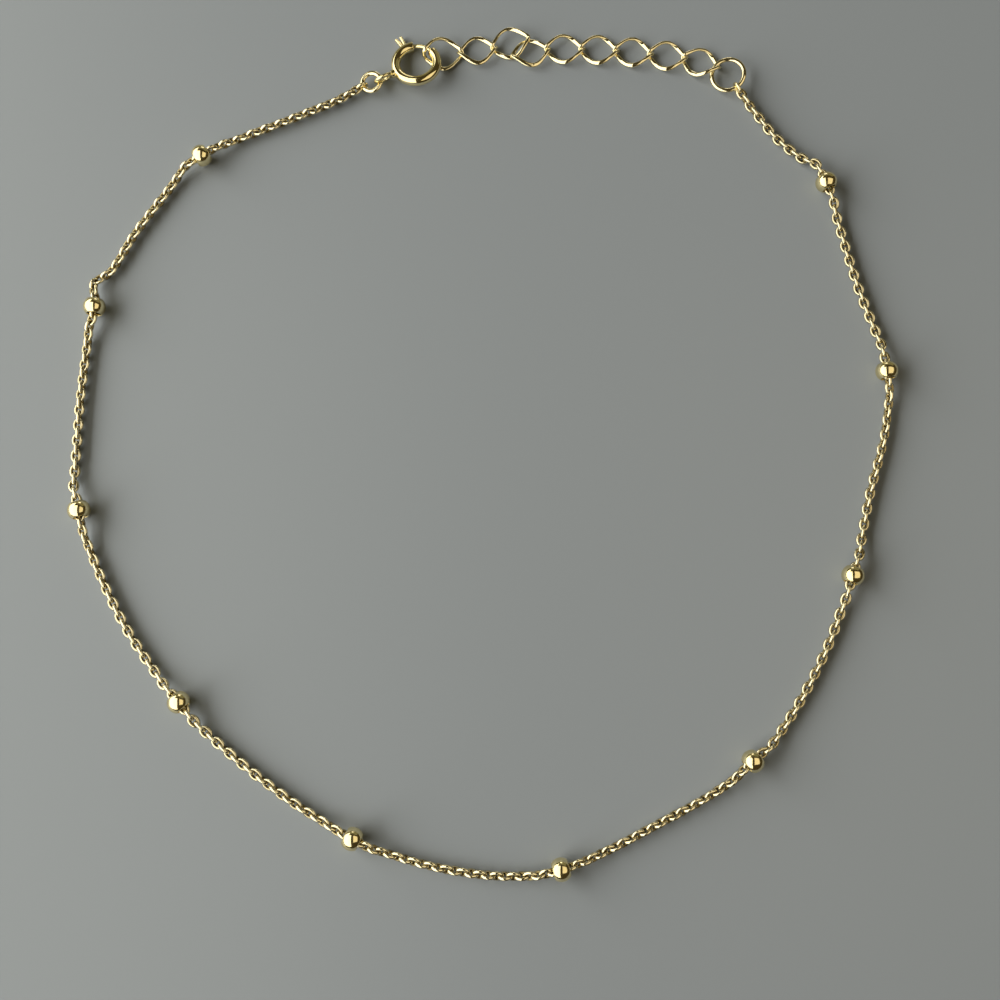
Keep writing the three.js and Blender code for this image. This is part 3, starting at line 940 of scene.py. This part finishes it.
def makeClaspRing():
    # the tube with its eye, bored from both sides of the gap for the bolt and slotted for the tab
    outward = np.array([*flatStep(1.0, clasp["eyeAngle"]), 0.0])
    gapStart, gapEnd, bore, rim = clasp["gapStart"], clasp["gapEnd"], clasp["channel"], clasp["boreRim"]
    tube = bentTube(clasp["tube"], gapEnd, 360 + gapStart, claspMesh["tube"], clasp["rim"])
    channelStart, socketMouth = gapEnd - clasp["overrun"], gapStart + clasp["overrun"]
    channel = bentTube(bore, channelStart, clasp["channelEnd"], claspMesh["channel"], rim)
    socket = bentTube(bore, clasp["socketEnd"], socketMouth, claspMesh["socket"], rim)
    mesh = combine(solidObject("tube", *tube), [
        ("UNION", solidObject("eye", *claspEye(outward))),
        ("UNION", solidObject("collar", *claspCollar(outward))),
        ("DIFFERENCE", solidObject("channel", *channel)),
        ("DIFFERENCE", solidObject("socket", *socket)),
        ("DIFFERENCE", solidObject("slot", *slotCutter())),
    ])
    placeClaspPiece("claspRing", mesh, claspGold, "anklet", "clasp_ring")


def makeClaspBolt():
    # a bent rod with two prongs that stand out through the slot as its forked tab
    radius = claspRadius()
    sizes = boltSizes
    outward = np.array([*flatStep(1.0, sizes["tabAngle"]), 0.0])
    across = np.array([-outward[1], outward[0], 0.0])
    rod = bentTube(sizes["wire"], sizes["nose"], sizes["tail"], claspMesh["bolt"], sizes["round"])
    prongs = []
    for side in (-1, 1):
        start = radius * outward + side * sizes["tabRoot"] / 2 * across
        end = (radius + sizes["tabReach"]) * outward + side * sizes["tabSpread"] / 2 * across
        prong = straightRod(start, end, sizes["tabProng"] / 2, claspMesh["prongSides"], sizes["round"])
        prongs.append(("UNION", solidObject("prong", *prong)))
    mesh = combine(solidObject("rod", *rod), prongs)
    placeClaspPiece("claspBolt", mesh, boltGold, "bolt", "clasp_bolt")


makeClaspRing()
makeClaspBolt()
print("clasp made")


# floor and light

floor = {"size": 3000, "drop": 0.01, "colour": (0.325, 0.35, 0.365), "roughness": 0.42, "shine": 0.2}


def makeFloor():
    # one flat square, a hair under the lowest wires
    half = floor["size"] / 2
    corners = np.array([(-half, -half, 0), (half, -half, 0), (half, half, 0), (-half, half, 0)], float)
    material, tree, shader = startMaterial("paleFloor")
    shader.inputs["Base Color"].default_value = (*floor["colour"], 1.0)
    shader.inputs["Roughness"].default_value = floor["roughness"]
    shader.inputs["Specular IOR Level"].default_value = floor["shine"]
    piece = makePiece("floor", corners - (0, 0, floor["drop"]), np.array([[0, 1, 2, 3]]), material)


# each light's two opposite edges, far from and near to the zenith, and its width across them
lights = {
    "window": {"low": (-600, 0, 15), "high": (-600, 0, 600), "width": 1080, "radiance": 6.5},
    "skyNear": {"low": (-110, -150, 122), "high": (-28, -150, 134), "width": 490, "radiance": 2.0},
    "skyFar": {"low": (-600, -55, 60), "high": (-110, -55, 122), "width": 680, "radiance": 2.3},
    "card": {"low": (190, -8, 120), "high": (30, -8, 134), "width": 175, "radiance": 0.95},
    "backWall": {"low": (60, 400, 5), "high": (60, 400, 300), "width": 700, "radiance": 0.14},
    "farLamp": {"low": (10, 300, 40), "high": (10, 300, 90), "width": 90, "radiance": 2.0},
}
lightColours = {
    "window": (1.0, 0.99, 0.95),
    "skyNear": (1.0, 0.98, 0.84),
    "skyFar": (1.0, 0.98, 0.84),
    "card": (1.0, 0.87, 0.6),
    "backWall": (1.0, 1.0, 0.62),
    "farLamp": (1.0, 0.95, 0.85),
}
# the window lights the floor and casts the shadows; the sky and the card are seen in the gold only
shadeLights = ("window",)
sheenLights = ("skyNear", "skyFar", "card")
worldLight = {"colour": (1.0, 0.78, 0.36), "strength": 0.05}


def makeLight(name, light):
    # a rectangle that shines to one side, with a power of pi times radiance times area, in watts
    low, high = np.array(light["low"], float), np.array(light["high"], float)
    up = direction(high - low)
    upright = abs(up[2]) > 0.9
    away = low if upright else low - high
    side = direction(np.array([away[1], -away[0], 0.0]))
    back = np.cross(side, up)
    back = back if np.dot(back, (low + high) / 2) > 0 else -back
    side = np.cross(up, back)
    height = np.linalg.norm(high - low)
    data = bpy.data.lights.new(name, "AREA")
    data.shape = "RECTANGLE"
    data.size = light["width"] * millimetre
    data.size_y = height * millimetre
    data.energy = light["radiance"] * math.pi * data.size * data.size_y
    data.color = lightColours[name]
    piece = bpy.data.objects.new(name, data)
    piece.location = (layoutZero + (low + high) / 2) * millimetre
    piece.rotation_euler = matrixToEuler(np.stack([side, up, back], axis=1))
    piece.visible_diffuse = name not in sheenLights
    piece.visible_glossy = name not in shadeLights
    bpy.context.scene.collection.objects.link(piece)


def matrixToEuler(matrix):
    # turns about x, y and z, in that order
    return (
        math.atan2(matrix[2, 1], matrix[2, 2]),
        -math.asin(max(-1.0, min(1.0, matrix[2, 0]))),
        math.atan2(matrix[1, 0], matrix[0, 0]),
    )


def makeWorld():
    # a dim warm room, seen in the gold where no light is
    world = bpy.data.worlds.new("room")
    world.use_nodes = True
    background = world.node_tree.nodes["Background"]
    background.inputs["Color"].default_value = (*worldLight["colour"], 1.0)
    background.inputs["Strength"].default_value = worldLight["strength"]
    bpy.context.scene.world = world


makeFloor()
for lightName, light in lights.items():
    makeLight(lightName, light)
makeWorld()
bpy.context.scene.view_settings.view_transform = "Standard"
print("floor and light made")
